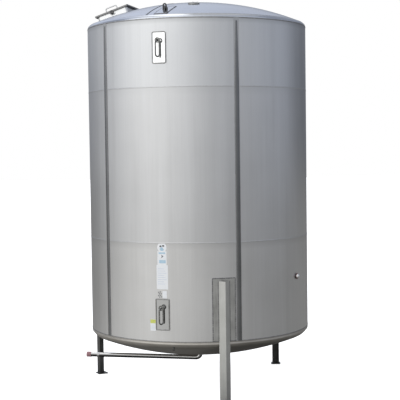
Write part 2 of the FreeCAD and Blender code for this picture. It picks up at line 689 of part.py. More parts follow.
for x0 in (-NUT_R + WING_OVERLAP - WING_L, NUT_R - WING_OVERLAP):
    wings.append(box(x0, x0 + WING_L, nut_y - WING_SPAN[1], nut_y - WING_SPAN[0],
                     STUD_Z - WING_T / 2, STUD_Z + WING_T / 2))
nut_bore = Part.makeCylinder(STUD_R + RUNNING, NUT_L, V(0, nut_y, STUD_Z), away)
add("wing_nut", on_manway(joined([nut_body] + wings).cut(nut_bore)))

# ---- dome lifting lugs --------------------------------------------------
lug_pads = []
dome_pad_skin = outer_form(-LUG_PAD_T).cut(outer_form(0)).common(slab(TOP_TANGENT_Z, CUT_TOP_Z))
lug_slope = asin(LUG_R / DOME_CROWN_R)
for i, azimuth in enumerate(LUG_AZIMUTHS):
    lug_out = direction(azimuth)
    lug_side = UP.cross(lug_out)
    lug_up = UP * cos(lug_slope) + lug_out * sin(lug_slope)
    uphill = UP * sin(lug_slope) - lug_out * cos(lug_slope)
    origin = lug_out * LUG_R + UP * dome_z(LUG_R)
    pad_block = rounded_box(LUG_PAD_L, LUG_PAD_W, -LUG_PAD_W, LUG_PAD_W, LUG_PAD_CORNER)
    lug_pads.append(dome_pad_skin.common(placed(pad_block, origin, uphill, lug_up)))
    base = LUG_BASE / 2
    shoulder = LUG_RISE - LUG_NOSE
    lug_face = Part.Face(Part.Wire([
        Part.makeLine(V(-base, -LUG_ROOT, 0), V(base, -LUG_ROOT, 0)),
        Part.makeLine(V(base, -LUG_ROOT, 0), V(LUG_NOSE, shoulder, 0)),
        Part.Arc(V(LUG_NOSE, shoulder, 0), V(0, LUG_RISE, 0), V(-LUG_NOSE, shoulder, 0)).toShape(),
        Part.makeLine(V(-LUG_NOSE, shoulder, 0), V(-base, -LUG_ROOT, 0)),
    ]))
    lug = lug_face.extrude(V(0, 0, LUG_T))
    lug = lug.cut(Part.makeCylinder(LUG_HOLE_R, LUG_T, V(0, LUG_HOLE_Z, 0), UP))
    lug.translate(V(0, 0, -LUG_T / 2))
    ribs = []
    for turn, reach in LUG_RIBS.items():
        rib_face = Part.Face(Part.makePolygon([
            V(0, -LUG_ROOT, 0), V(0, -LUG_ROOT, turn * reach), V(0, 0, turn * reach),
            V(0, LUG_RIB_H, turn * LUG_T / 2), V(0, LUG_RIB_H, 0), V(0, -LUG_ROOT, 0),
        ]))
        rib_face.translate(V(-LUG_RIB_T / 2, 0, 0))
        ribs.append(rib_face.extrude(V(LUG_RIB_T, 0, 0)))
    lug = placed(joined([lug] + ribs), origin, lug_side, lug_side.cross(lug_up))
    add("lifting_lug_%d" % (i + 1), lug.cut(outer_form(-LUG_PAD_T)))
add("lug_pads", *lug_pads)

# ---- vent and spray head ------------------------------------------------
vent_tube = ring(VENT_R, VENT_R - VENT_T, -VENT_DEPTH, VENT_RISE)
vent_lip = ring(VENT_FLANGE_R, VENT_R - VENT_T, VENT_RISE - VENT_FLANGE_T, VENT_RISE)
add("vent_neck", on_vent(joined([vent_tube, vent_lip])).cut(vessel_inside))
cover_top = VENT_RISE + VENT_FLANGE_T
add("vent_cover", on_vent(ring(VENT_FLANGE_R, SPRAY_PIPE_R, VENT_RISE, cover_top)))
spray_low = cover_top - SPRAY_DROP
spray_pipe = ring(SPRAY_PIPE_R, SPRAY_PIPE_R - SPRAY_PIPE_T, spray_low, cover_top)
add("spray_pipe", on_vent(spray_pipe))
ball_centre = V(0, 0, spray_low - SPRAY_BALL_R + SPRAY_BALL_LAP)
ball = Part.makeSphere(SPRAY_BALL_R, ball_centre)
ball = ball.cut(Part.makeSphere(SPRAY_BALL_R - SPRAY_BALL_T, ball_centre))
ball = ball.cut(Part.makeCylinder(SPRAY_PIPE_R, SPRAY_BALL_R, V(0, 0, spray_low - SPRAY_BALL_LAP), UP))
add("spray_ball", on_vent(ball))

for name, shape in NODES.items():
    shape.exportStep("parts/%s.step" % name)
    print(name, len(shape.Solids), "valid" if shape.isValid() else "INVALID",
          round(shape.Volume / 1000), "cm3")
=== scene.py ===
import bmesh
import bpy
from math import ceil, cos, pi, radians, sin, sqrt
from mathutils import Matrix, Vector


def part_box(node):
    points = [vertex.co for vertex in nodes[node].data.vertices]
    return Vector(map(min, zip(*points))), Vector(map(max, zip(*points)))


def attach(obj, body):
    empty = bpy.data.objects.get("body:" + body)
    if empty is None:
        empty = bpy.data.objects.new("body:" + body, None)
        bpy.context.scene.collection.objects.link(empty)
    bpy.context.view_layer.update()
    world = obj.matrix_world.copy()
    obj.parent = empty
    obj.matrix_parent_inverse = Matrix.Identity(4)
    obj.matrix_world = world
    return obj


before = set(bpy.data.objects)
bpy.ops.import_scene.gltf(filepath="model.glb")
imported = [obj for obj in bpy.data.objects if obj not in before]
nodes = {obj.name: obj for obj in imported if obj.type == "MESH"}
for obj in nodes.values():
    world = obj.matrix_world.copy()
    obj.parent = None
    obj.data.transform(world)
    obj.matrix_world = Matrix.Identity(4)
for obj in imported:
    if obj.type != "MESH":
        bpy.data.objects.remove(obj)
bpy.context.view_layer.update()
UP = Vector((0, 0, 1))

# ---- places read from the frame, in metres ------------------------------
TANK_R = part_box("outer_dome")[1].x
LOW_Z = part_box("cladding_lower_1")[0].z
TOP_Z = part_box("cladding_top")[1].z
SEAM_HEIGHTS = (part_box("cladding_middle_1")[0].z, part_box("cladding_top")[0].z)

# ---- the CAD pieces that the details sit on, in metres and degrees ------
CROWN_R = 3.0
TOP_KNUCKLE = 0.045
PANELS = 5
FIRST_SEAM = 19.4
STRIP_T = 0.0015
LEGS = 3
FIRST_LEG = 11.8
LEG_SIDE = 0.080
LEG_TOP_Z = 1.245
PAD_T = 0.004
PAD_W = 0.235
PAD_HEIGHTS = (0.634, 1.272)
EYE_AZIMUTH = -18.4
EYE_PLATE_W = 0.150
EYE_PLATE_H = 0.322
EYE_PLATE_T = 0.005
EYE_CENTRES = {"upper": 3.603, "lower": 0.907}
LABEL_T = 0.0006
TAG_PLACE = (-23.6, 0.795)
TAG_SIZE = (0.060, 0.116)
PROBE_AZIMUTH = 59.0
PROBE_Z = 1.220
LUG_R = 1.008
LUG_AZIMUTHS = (-18.2, 161.8)
LUG_PAD_L = 0.292
LUG_PAD_W = 0.132
VENT_AZIMUTH = -2.0
VENT_PLACE_R = 0.677
VENT_COVER_TOP = 0.010


# ---- material helpers ---------------------------------------------------
class Tree:
    """A node tree, with short calls for the nodes used here."""

    def __init__(self, tree):
        self.tree = tree

    def add(self, kind, **settings):
        node = self.tree.nodes.new(kind)
        for key, value in settings.items():
            setattr(node, key, value)
        return node

    def link(self, source, target):
        self.tree.links.new(source, target)

    def fill(self, socket, value):
        """Set a socket to a number or a colour, or link an output to it."""
        if isinstance(value, (int, float)):
            socket.default_value = value
        elif isinstance(value, tuple):
            socket.default_value = (*value, 1.0)
        else:
            self.link(value, socket)

    def math(self, operation, a, b=0.0):
        node = self.add("ShaderNodeMath", operation=operation)
        self.fill(node.inputs[0], a)
        self.fill(node.inputs[1], b)
        return node.outputs["Value"]

    def mix(self, factor, first, second):
        node = self.add("ShaderNodeMix", data_type="RGBA")
        self.link(factor, node.inputs["Factor"])
        self.fill(node.inputs["A"], first)
        self.fill(node.inputs["B"], second)
        return node.outputs["Result"]

    def spread(self, value, low, high, to_low=0.0, to_high=1.0, shape="LINEAR"):
        node = self.add("ShaderNodeMapRange", interpolation_type=shape)
        node.inputs["From Min"].default_value = low
        node.inputs["From Max"].default_value = high
        node.inputs["To Min"].default_value = to_low
        node.inputs["To Max"].default_value = to_high
        self.link(value, node.inputs["Value"])
        return node.outputs["Result"]

    def toward(self, heading, azimuth):
        """Cosine of the angle between a unit vector and a level direction."""
        node = self.add("ShaderNodeVectorMath", operation="DOT_PRODUCT")
        self.link(heading, node.inputs[0])
        node.inputs[1].default_value = direction(azimuth)
        return node.outputs["Value"]

    def camera_sees(self, others, camera, surface):
        """Show one shader to the camera and another to every other ray."""
        choice = self.add("ShaderNodeMixShader")
        rays = self.add("ShaderNodeLightPath")
        self.link(rays.outputs["Is Camera Ray"], choice.inputs["Fac"])
        self.link(others, choice.inputs[1])
        self.link(camera, choice.inputs[2])
        self.link(choice.outputs["Shader"], surface)


class Nodes(Tree):
    """The node tree of a new material."""

    def __init__(self, name):
        self.material = bpy.data.materials.new(name)
        self.material.use_nodes = True
        super().__init__(self.material.node_tree)
        self.shader = self.tree.nodes["Principled BSDF"]
        self.place = self.add("ShaderNodeTexCoord").outputs["Object"]

    def noise(self, stretch, detail=3.0, rough=0.6):
        """Noise whose scale per metre along X, Y and Z is given by stretch."""
        mapping = self.add("ShaderNodeMapping")
        mapping.inputs["Scale"].default_value = stretch
        self.link(self.place, mapping.inputs["Vector"])
        node = self.add("ShaderNodeTexNoise")
        node.inputs["Scale"].default_value = 1.0
        node.inputs["Detail"].default_value = detail
        node.inputs["Roughness"].default_value = rough
        self.link(mapping.outputs["Vector"], node.inputs["Vector"])
        return node.outputs["Fac"]

    def height(self):
        node = self.add("ShaderNodeSeparateXYZ")
        self.link(self.place, node.inputs["Vector"])
        return node.outputs["Z"]

    def bump(self, height, distance, strength=1.0):
        node = self.add("ShaderNodeBump")
        node.inputs["Distance"].default_value = distance
        node.inputs["Strength"].default_value = strength
        self.link(height, node.inputs["Height"])
        self.link(node.outputs["Normal"], self.shader.inputs["Normal"])

    def edges(self, radius):
        """1 near the sharp edges, 0 elsewhere."""
        bevel = self.add("ShaderNodeBevel", samples=4)
        bevel.inputs["Radius"].default_value = radius
        flat = self.add("ShaderNodeNewGeometry")
        dot = self.add("ShaderNodeVectorMath", operation="DOT_PRODUCT")
        self.link(bevel.outputs["Normal"], dot.inputs[0])
        self.link(flat.outputs["Normal"], dot.inputs[1])
        return self.spread(dot.outputs["Value"], 0.995, 0.9)


def steel(name, dark, light, grain, rough, metal=1.0, stain=1.5, ripple=0.0, edge_wear_and_highlight=None,
          fade=None, streaks=0.0):
    """Stainless steel: grain, cloudy colour, uneven roughness, edges lighter from wear and a
    painted highlight.

    fade is (height, height, share): the colour sinks to a share of itself between them.
    streaks is the strength of broad upright stripes, such as rain leaves.
    """
    m = Nodes(name)
    lines = m.noise(grain, 5.0, 0.7)
    cloud = m.noise((stain, stain, stain), 4.0, 0.6)
    tone = m.math("ADD", m.math("MULTIPLY", lines, 0.45), m.math("MULTIPLY", cloud, 0.55))
    colour = m.mix(m.spread(tone, 0.35, 0.65), dark, light)
    if streaks:
        stripe = m.noise((8.0, 8.0, 0.30), 3.0, 0.55)
        colour = m.mix(m.spread(stripe, 0.52, 0.78, 0.0, streaks), colour, (0.92, 0.93, 0.95))
        colour = m.mix(m.spread(stripe, 0.46, 0.22, 0.0, streaks), colour, (0.30, 0.30, 0.30))
    # edges lighter: partly wear, partly a painted highlight
    if edge_wear_and_highlight:
        colour = m.mix(m.edges(edge_wear_and_highlight), colour, tuple(min(1.0, c * 1.25) for c in light))
    if fade:
        low = tuple(c * fade[2] for c in dark)
        colour = m.mix(m.spread(m.height(), fade[0], fade[1]), colour, low)
    m.link(colour, m.shader.inputs["Base Color"])
    m.link(m.spread(tone, 0.3, 0.7, rough[0], rough[1]), m.shader.inputs["Roughness"])
    m.shader.inputs["Metallic"].default_value = metal
    if ripple:
        dents = m.noise((1.3, 1.3, 0.9), 1.0, 0.4)
        height = m.math("ADD", m.math("MULTIPLY", lines, 0.02), m.math("MULTIPLY", dents, ripple))
        m.bump(height, 0.02, 0.35)
    else:
        m.bump(lines, 0.0004, 0.5)
    return m


def matt(name, dark, light, spots, skin, rough, depth, scuffs=None):
    """Foam, rubber, plastic or film: mottled colour over a fine skin."""
    m = Nodes(name)
    fine = m.noise((skin, skin, skin), 4.0, 0.6)
    cloud = m.noise((spots, spots, spots), 3.0)
    tone = m.math("ADD", m.math("MULTIPLY", fine, 0.4), m.math("MULTIPLY", cloud, 0.6))
    colour = m.mix(m.spread(tone, 0.35, 0.65), dark, light)
    if scuffs:
        colour = m.mix(m.edges(0.003), colour, scuffs)
    m.link(colour, m.shader.inputs["Base Color"])
    m.link(m.spread(fine, 0.3, 0.7, rough[0], rough[1]), m.shader.inputs["Roughness"])
    m.bump(fine, depth)
    return m


UPRIGHT = (150.0, 150.0, 0.9)            # grain along the height
LEG_GRAIN = (200.0, 200.0, 3.0)
SEAM_SHADE = (0.075, 0.090, 0.055)       # painted shade: how far below each joint the sheets turn darker
PLATE_SHADE = (2.6, 2.0, 0.62)           # painted reflection: the lower side plate is darker, the upper one bright
PIPE_SHADE = (0.250, 0.238, 0.22)        # painted shade: the outlet pipe darkens along its underside
sheet_top = steel("brushed_cladding_top", (0.625, 0.635, 0.645), (0.68, 0.69, 0.70), UPRIGHT,
                  (0.28, 0.34), metal=0.96, ripple=0.3, streaks=0.16,
                  fade=(TOP_Z - SEAM_SHADE[2], TOP_Z, 0.80))
sheet_middle = steel("brushed_cladding_middle", (0.61, 0.615, 0.62), (0.665, 0.67, 0.675), UPRIGHT,
                     (0.28, 0.34), metal=0.96, ripple=0.3, streaks=0.16,
                     fade=(SEAM_HEIGHTS[1] - SEAM_SHADE[1], SEAM_HEIGHTS[1], 0.99))
sheet_lower = steel("brushed_cladding_lower", (0.62, 0.62, 0.615), (0.675, 0.675, 0.67), UPRIGHT,
                    (0.30, 0.36), metal=0.96, ripple=0.3, streaks=0.16,
                    fade=(SEAM_HEIGHTS[0] - SEAM_SHADE[0], SEAM_HEIGHTS[0], 0.90))
dome_steel = steel("dome_steel", (0.66, 0.69, 0.75), (0.74, 0.77, 0.82), (30.0, 30.0, 30.0),
                   (0.14, 0.20), ripple=0.2)
# painted shade: the bottom head and the lower roll are darker and browner than the shell, for the
# shade under the tank
under_steel = steel("bottom_steel", (0.45, 0.43, 0.39), (0.58, 0.56, 0.52), (6.0, 6.0, 20.0),
                    (0.30, 0.42), stain=4.0)
strip_flat = steel("strip_flat_steel", (0.42, 0.425, 0.43), (0.50, 0.505, 0.51), UPRIGHT,
                   (0.24, 0.32), stain=3.0)
strip_steel = steel("strip_steel", (0.17, 0.175, 0.18), (0.23, 0.235, 0.24), UPRIGHT,
                    (0.20, 0.28), stain=3.0)
pad_steel = steel("pad_steel", (0.32, 0.32, 0.305), (0.52, 0.52, 0.50), (90.0, 90.0, 6.0),
                  (0.36, 0.52), metal=0.9, stain=8.0, edge_wear_and_highlight=0.003)
leg_steel = steel("leg_steel", (0.50, 0.505, 0.48), (0.61, 0.615, 0.59), LEG_GRAIN,
                  (0.26, 0.38), stain=5.0, edge_wear_and_highlight=0.002, metal=0.55)
# painted shade: darker copies of the leg steel for the rear legs, the foot plates and the earthing
# lug, which stand in the tank's shade
painted_shade_leg_steel = steel("leg_steel_painted_shade", (0.10, 0.10, 0.098), (0.26, 0.26, 0.25),
                      LEG_GRAIN, (0.34, 0.50), stain=6.0, edge_wear_and_highlight=0.002)
shaded_leg_steel = steel("shaded_leg_steel", (0.045, 0.045, 0.044), (0.12, 0.12, 0.115),
                         LEG_GRAIN, (0.34, 0.50), stain=6.0, edge_wear_and_highlight=0.002)
mirror = steel("mirror_plate", (0.88, 0.89, 0.89), (0.95, 0.95, 0.95), (6.0, 6.0, 6.0),
               (0.03, 0.07), stain=7.0, fade=PLATE_SHADE)
# painted shade: the dark rim round each side plate stands for the shadow along the plate's edge
rim_steel = steel("plate_rim_steel", (0.26, 0.26, 0.255), (0.42, 0.42, 0.415), (50.0, 50.0, 50.0),
                  (0.10, 0.20), stain=12.0)
# painted shade: the eye, link and wing nut get a dark steel that stands for the shade they sit in
bar_steel = steel("bar_steel", (0.14, 0.14, 0.135), (0.30, 0.30, 0.29), (60.0, 60.0, 60.0),
                  (0.20, 0.34), stain=25.0, edge_wear_and_highlight=0.001)
# painted shade: the lifting lugs, catch and thermometer pocket are near black, for the shade they
# sit in
lug_steel = steel("lug_steel", (0.05, 0.05, 0.052), (0.17, 0.17, 0.175), (70.0, 70.0, 70.0),
                  (0.25, 0.40), stain=20.0, edge_wear_and_highlight=0.002)
tube_steel = steel("tube_steel", (0.62, 0.62, 0.615), (0.78, 0.78, 0.77), (9.0, 240.0, 240.0),
                   (0.10, 0.18), stain=4.0, fade=PIPE_SHADE)
fitting_steel = steel("fitting_steel", (0.45, 0.455, 0.46), (0.62, 0.625, 0.63),
                      (120.0, 120.0, 120.0), (0.28, 0.42), stain=12.0, edge_wear_and_highlight=0.001)
lid_steel = steel("lid_steel", (0.17, 0.17, 0.17), (0.29, 0.29, 0.29), (14.0, 160.0, 160.0),
                  (0.26, 0.38), stain=6.0, edge_wear_and_highlight=0.002)
neck_steel = steel("neck_steel", (0.80, 0.81, 0.81), (0.90, 0.91, 0.91), (160.0, 160.0, 10.0),
                   (0.26, 0.36), stain=6.0)
polished = steel("polished_steel", (0.70, 0.70, 0.70), (0.85, 0.85, 0.85), (40.0, 40.0, 40.0),
                 (0.08, 0.16), stain=20.0)
vessel_steel = steel("vessel_steel", (0.60, 0.61, 0.62), (0.74, 0.75, 0.76), (8.0, 8.0, 60.0),
                     (0.18, 0.30), stain=2.0)
weld_steel = steel("weld_steel", (0.22, 0.22, 0.22), (0.44, 0.44, 0.44), (70.0, 70.0, 70.0),
                   (0.30, 0.55), stain=30.0)
seam_steel = steel("seam_steel", (0.56, 0.565, 0.57), (0.66, 0.665, 0.67), (70.0, 70.0, 70.0),
                   (0.28, 0.42), stain=30.0)
dark_weld = steel("dark_weld_steel", (0.13, 0.13, 0.135), (0.26, 0.26, 0.265), (70.0, 70.0, 70.0),
                  (0.30, 0.50), stain=30.0)
foam = matt("foam", (0.62, 0.50, 0.27), (0.86, 0.76, 0.50), 3.0, 90.0, (0.70, 0.95), 0.003)
rubber = matt("gasket_rubber", (0.02, 0.02, 0.02), (0.06, 0.06, 0.06), 20.0, 400.0, (0.55, 0.8),
              0.0004)
cap_plastic = matt("cap_plastic", (0.34, 0.17, 0.19), (0.56, 0.33, 0.35), 14.0, 120.0, (0.35, 0.6),
                   0.0006, scuffs=(0.74, 0.58, 0.58))
# painted shade: the red seal is darkened to show the dark ring round the thermometer cap
seal_plastic = matt("seal_plastic", (0.10, 0.03, 0.03), (0.20, 0.05, 0.045), 30.0, 300.0,
                    (0.35, 0.55), 0.0003)
label_film = matt("label_film", (0.90, 0.94, 0.98), (0.98, 0.99, 1.0), 6.0, 130.0, (0.25, 0.45),
                  0.0005)
ink_dark = matt("ink_dark", (0.05, 0.06, 0.07), (0.14, 0.15, 0.16), 40.0, 300.0, (0.35, 0.55),
                0.0002)
ink_blue = matt("ink_blue", (0.42, 0.62, 0.78), (0.55, 0.74, 0.86), 30.0, 300.0, (0.30, 0.50),
                0.0002)
ink_pale = matt("ink_pale", (0.70, 0.75, 0.85), (0.80, 0.85, 0.92), 30.0, 300.0, (0.30, 0.50),
                0.0002)
ink_yellow = matt("ink_yellow", (0.62, 0.68, 0.10), (0.78, 0.82, 0.26), 30.0, 300.0, (0.30, 0.50),
                  0.0002)

# the longest key that a node's name starts with gives its look
LOOKS = {
    "cladding_lower": sheet_lower, "cladding_middle": sheet_middle, "cladding_top": sheet_top,
    "outer_dome": dome_steel, "lug_pads": dome_steel, "outer_bottom": under_steel,
    "cover_strips": strip_flat, "foam": foam, "inner": vessel_steel,
    "cooling_jacket": vessel_steel, "leg_pad": pad_steel, "leg_1": leg_steel,
    "leg_2": shaded_leg_steel, "leg_": painted_shade_leg_steel, "foot_plate": painted_shade_leg_steel,
    "lift_plates": mirror, "lift_eye": bar_steel, "lift_link": bar_steel, "labels": label_film,
    "outlet_cap": cap_plastic, "outlet": tube_steel, "coolant": tube_steel,
    "manway_gasket": rubber, "manway_neck": neck_steel, "manway_lid": lid_steel,
    "lid_handle": tube_steel, "lid_hinge": lid_steel, "catch": lug_steel, "wing_nut": bar_steel,
    "probe_cap": polished, "probe_pocket": lug_steel, "hinge_pin": polished, "spray": polished,
    "lifting_lug": lug_steel, "vent_cover": pad_steel, "vent_neck": pad_steel,
}


def look_of(name):
    fitting = [key for key in LOOKS if name.startswith(key)]
    return LOOKS[max(fitting, key=len)] if fitting else fitting_steel


CAD_SMOOTH_UNDER = 28       # edges that turn by more than this stay sharp
PIECE_SMOOTH_UNDER = 40
for name, obj in nodes.items():
    obj.data.materials.clear()
    obj.data.materials.append(look_of(name).material)
    for face in obj.data.polygons:
        face.use_smooth = True
    if not obj.data.has_custom_normals:
        obj.data.set_sharp_from_angle(angle=radians(CAD_SMOOTH_UNDER))


# ---- shape helpers ------------------------------------------------------
def direction(azimuth):
    """Level unit vector; azimuths are counted from -Y towards +X."""
    a = radians(azimuth)
    return Vector((sin(a), -cos(a), 0.0))


def on_wall(azimuth, z, out=0.0):
    return direction(azimuth) * (TANK_R + out) + UP * z


def arc_degrees(length):
    return length / TANK_R * 180 / pi


def dome_z(r):
    drop = sqrt((CROWN_R - TOP_KNUCKLE) ** 2 - (TANK_R - TOP_KNUCKLE) ** 2)
    return TOP_Z - drop + sqrt(CROWN_R ** 2 - r ** 2)


def dome_normal(place):
    rise = sqrt(CROWN_R ** 2 - place.x ** 2 - place.y ** 2)
    return Vector((place.x, place.y, rise)).normalized()


def dome_pair(x, y):
    """(point, normal) on the dome above x, y."""
    spot = Vector((x, y, dome_z(sqrt(x ** 2 + y ** 2))))
    return spot, dome_normal(spot)


def piece(name, verts, faces, look, smooth=True):
    """Make one closed mesh; every piece made here belongs to the tank."""
    mesh = bpy.data.meshes.new(name)
    mesh.from_pydata(verts, [], faces)
    mesh.update()
    made = bmesh.new()
    made.from_mesh(mesh)
    bmesh.ops.recalc_face_normals(made, faces=made.faces)
    made.to_mesh(mesh)
    made.free()
    for face in mesh.polygons:
        face.use_smooth = smooth
    mesh.set_sharp_from_angle(angle=radians(PIECE_SMOOTH_UNDER))
    obj = bpy.data.objects.new(name, mesh)
    bpy.context.scene.collection.objects.link(obj)
    mesh.materials.append(look.material)
    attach(obj, "tank")
    return obj


def sweep(name, path, half_w, height, look, closed, steps=8, full=False, wobble=0.0,
          slot="fitting_steel", widths=None):
    """Half-round (or full round) section along (point, normal) pairs.

    wobble makes it uneven as a weld is; widths scales the section at each pair.
    """
    count = len(path)
    turns = 2 * pi if full else pi
    ring = steps if full else steps + 1
    verts, faces = [], []
    for i, (point, normal) in enumerate(path):
        before = path[(i - 1) % count][0] if closed or i else path[0][0]
        after = path[(i + 1) % count][0] if closed or i < count - 1 else path[-1][0]
        side = (after - before).normalized().cross(normal).normalized()
        swell = 1 + wobble * (sin(i * 2.4) + 0.6 * sin(i * 0.7))
        if widths:
            swell *= widths[i]
        for k in range(ring):
            a = turns * k / steps
            across, up = half_w * swell * cos(a), height * swell * sin(a)
            verts.append(point + side * across + normal * up)
    rows = count if closed else count - 1
    for i in range(rows):
        for k in range(ring):
            j, n = (i + 1) % count, (k + 1) % ring
            faces.append((i * ring + k, i * ring + n, j * ring + n, j * ring + k))
    if not closed:
        faces.append(tuple(range(ring)))
        faces.append(tuple((count - 1) * ring + k for k in reversed(range(ring))))
    return piece(name, verts, faces, look)


def level_ring(r, z, count=540):
    return [(direction(360 * i / count) * r + UP * z, direction(360 * i / count))
            for i in range(count)]


def wall_frame(azimuth, centre_z, width, height, corner, out, spacing=0.006):
    """Closed rounded rectangle lying on the wall, as (point, normal) pairs."""
    flat = []
    for x, z, start in ((1, 1, 0), (-1, 1, 90), (-1, -1, 180), (1, -1, 270)):
        centre = (x * (width / 2 - corner), z * (height / 2 - corner))
        for k in range(5):
            a = radians(start + 22.5 * k)
            flat.append((centre[0] + corner * cos(a), centre[1] + corner * sin(a)))
    path = []
    for (x0, z0), (x1, z1) in zip(flat, flat[1:] + flat[:1]):
        steps = max(1, ceil(sqrt((x1 - x0) ** 2 + (z1 - z0) ** 2) / spacing))
        for k in range(steps):
            x, z = x0 + (x1 - x0) * k / steps, z0 + (z1 - z0) * k / steps
            a = azimuth + arc_degrees(x)
            path.append((on_wall(a, centre_z + z, out), direction(a)))
    return path


def decal(name, outlines, azimuth, centre_z, look, lift=LABEL_T, thick=0.0004):
    """Thin printed shapes bent round the wall, drawn in metres from a centre."""
    made = bmesh.new()
    for outline in outlines:
        made.faces.new([made.verts.new((x, z, 0)) for x, z in outline])
    reach = max(abs(x) for outline in outlines for x, z in outline)
    cut = -reach
    while cut < reach:
        parts = made.verts[:] + made.edges[:] + made.faces[:]
        bmesh.ops.bisect_plane(made, geom=parts, plane_co=(cut, 0, 0), plane_no=(1, 0, 0))
        cut += 0.010
    grown = bmesh.ops.extrude_face_region(made, geom=made.faces[:])
    for vert in [g for g in grown["geom"] if isinstance(g, bmesh.types.BMVert)]:
        vert.co.z = thick
    verts, faces = [], []
    made.verts.index_update()
    for vert in made.verts:
        x, z, depth = vert.co
        verts.append(on_wall(azimuth + arc_degrees(x), centre_z + z, lift + depth))
    for face in made.faces:
        faces.append(tuple(vert.index for vert in face.verts))
    made.free()
    return piece(name, verts, faces, look)


def disc(x, z, rx, rz, count=20, start=0.0, end=360.0):
    around = [radians(start + (end - start) * k / count) for k in range(count)]
    return [(x + rx * cos(a), z + rz * sin(a)) for a in around]


def oblong(x0, x1, z0, z1):
    return [(x0, z0), (x1, z0), (x1, z1), (x0, z1)]


def hex_head(verts, faces, centre, up, corner_r, height):
    """Add a chamfered hexagon head to a mesh in the making."""
    side = up.orthogonal().normalized()
    other = up.cross(side)
    start = len(verts)
    for radius, rise in ((corner_r, 0.0), (corner_r, height * 0.75), (corner_r * 0.82, height)):
        for k in range(6):
            a = pi * k / 3
            verts.append(centre + side * (radius * cos(a)) + other * (radius * sin(a)) + up * rise)
    for row in (0, 6):
        for k in range(6):
            n = (k + 1) % 6
            low = start + row
            faces.append((low + k, low + n, low + 6 + n, low + 6 + k))
    faces.append(tuple(start + k for k in reversed(range(6))))
    faces.append(tuple(start + 12 + k for k in range(6)))


# half width and height of each bead, roll or rim
COURSE_BEAD = (0.0060, 0.0016)
TOP_BEAD = (0.0060, 0.0014)
LOW_BEAD = (0.0050, 0.0030)
LOW_ROLL = (0.0110, 0.0040)
DOME_BEAD = (0.0030, 0.0012)
SHEET_BEAD = (0.0090, 0.0030)
STRIP_CROWN = (0.0240, 0.0070)
PAD_BEAD = (0.0060, 0.0048)
LEG_BEAD = (0.0045, 0.0040)
PLATE_RIM = (0.0062, 0.0050)
LUG_BEAD = (0.0065, 0.0050)
# corner radius and height of each bolt head
VENT_BOLT = (0.0065, 0.0045)
EARTH_BOLT = (0.0085, 0.006)

# ---- welds and seams of the shell ---------------------------------------
LOW_ROLL_IN, LOW_ROLL_DOWN = 0.0030, 0.024      # from the wall and the lower joint
for number, seam_z in enumerate(SEAM_HEIGHTS):
    sweep("course_weld_%d" % (number + 1), level_ring(TANK_R, seam_z), *COURSE_BEAD,
          seam_steel, True, wobble=0.10)
sweep("top_joint", level_ring(TANK_R, TOP_Z), *TOP_BEAD, weld_steel, True, wobble=0.06)
sweep("low_joint", level_ring(TANK_R, LOW_Z), *LOW_BEAD, weld_steel, True, wobble=0.06)
sweep("low_rim", level_ring(TANK_R - LOW_ROLL_IN, LOW_Z - LOW_ROLL_DOWN), *LOW_ROLL, under_steel,
      True)
knuckle_share = (TANK_R - TOP_KNUCKLE) / (CROWN_R - TOP_KNUCKLE)
crown_edge_r = CROWN_R * knuckle_share
crown_edge = [(spot, dome_normal(spot))
              for spot, out in level_ring(crown_edge_r, dome_z(crown_edge_r))]
sweep("dome_weld", crown_edge, *DOME_BEAD, seam_steel, True, wobble=0.10)

JOINT_FROM, JOINT_TO = Vector((-0.506, -1.051)), Vector((0.25, 1.10))
JOINT_STEPS = 120
joint_path = [dome_pair(*JOINT_FROM.lerp(JOINT_TO, k / JOINT_STEPS))
              for k in range(JOINT_STEPS + 1)]
sweep("dome_sheet_joint", joint_path, *SHEET_BEAD, dark_weld, False, wobble=0.05)

STRIP_SHORT = 0.030         # the rolled crown ends this far below the top joint
STRIP_STEPS = 48
STRIP_TIP, STRIP_GROW = 0.45, 0.06      # width at the tip, and its growth at each step
for number in range(PANELS):
    azimuth = FIRST_SEAM + 360 * number / PANELS
    reach = TOP_Z - STRIP_SHORT - LOW_Z
    line = [(on_wall(azimuth, LOW_Z + reach * k / STRIP_STEPS, STRIP_T), direction(azimuth))
            for k in range(STRIP_STEPS + 1)]
    widths = [min(1.0, STRIP_TIP + STRIP_GROW * (STRIP_STEPS - k))
              for k in range(STRIP_STEPS + 1)]
    sweep("strip_crown_%d" % (number + 1), line, *STRIP_CROWN, strip_steel, False, steps=12,
          slot="strip_steel", widths=widths)

# ---- welds of the legs and pads -----------------------------------------
LEG_WELD_STEPS = 60
lateral = LEG_SIDE / sqrt(2)
for number in range(LEGS):
    azimuth = FIRST_LEG + 360 * number / LEGS
    height = PAD_HEIGHTS[1] - PAD_HEIGHTS[0]
    outline = wall_frame(azimuth, sum(PAD_HEIGHTS) / 2, PAD_W, height, 0.002, 0.0, 0.009)
    sweep("pad_weld_%d" % (number + 1), outline, *PAD_BEAD, dark_weld, True, wobble=0.16,
          slot="pad_steel")
    for hand, word in ((-1, "near"), (1, "far")):
        a = azimuth + hand * arc_degrees(lateral + 0.001)
        reach = LEG_TOP_Z - PAD_HEIGHTS[0]
        line = [(on_wall(a, PAD_HEIGHTS[0] + reach * k / LEG_WELD_STEPS, PAD_T), direction(a))
                for k in range(LEG_WELD_STEPS + 1)]
        sweep("leg_weld_%d_%s" % (number + 1, word), line, *LEG_BEAD, dark_weld, False,
              wobble=0.15, slot="pad_steel")

# ---- side plates --------------------------------------------------------
# painted shade: the dark rims stand for the shadow along each plate's edge
RIM_CORNERS = {"upper": 0.014, "lower": 0.004}
RIM_INSET = 0.005
for level, centre_z in EYE_CENTRES.items():
    outline = wall_frame(EYE_AZIMUTH, centre_z, EYE_PLATE_W - 2 * RIM_INSET,
                         EYE_PLATE_H - 2 * RIM_INSET, RIM_CORNERS[level], EYE_PLATE_T)
    sweep("plate_rim_" + level, outline, *PLATE_RIM, rim_steel, True, slot="mirror_plate")

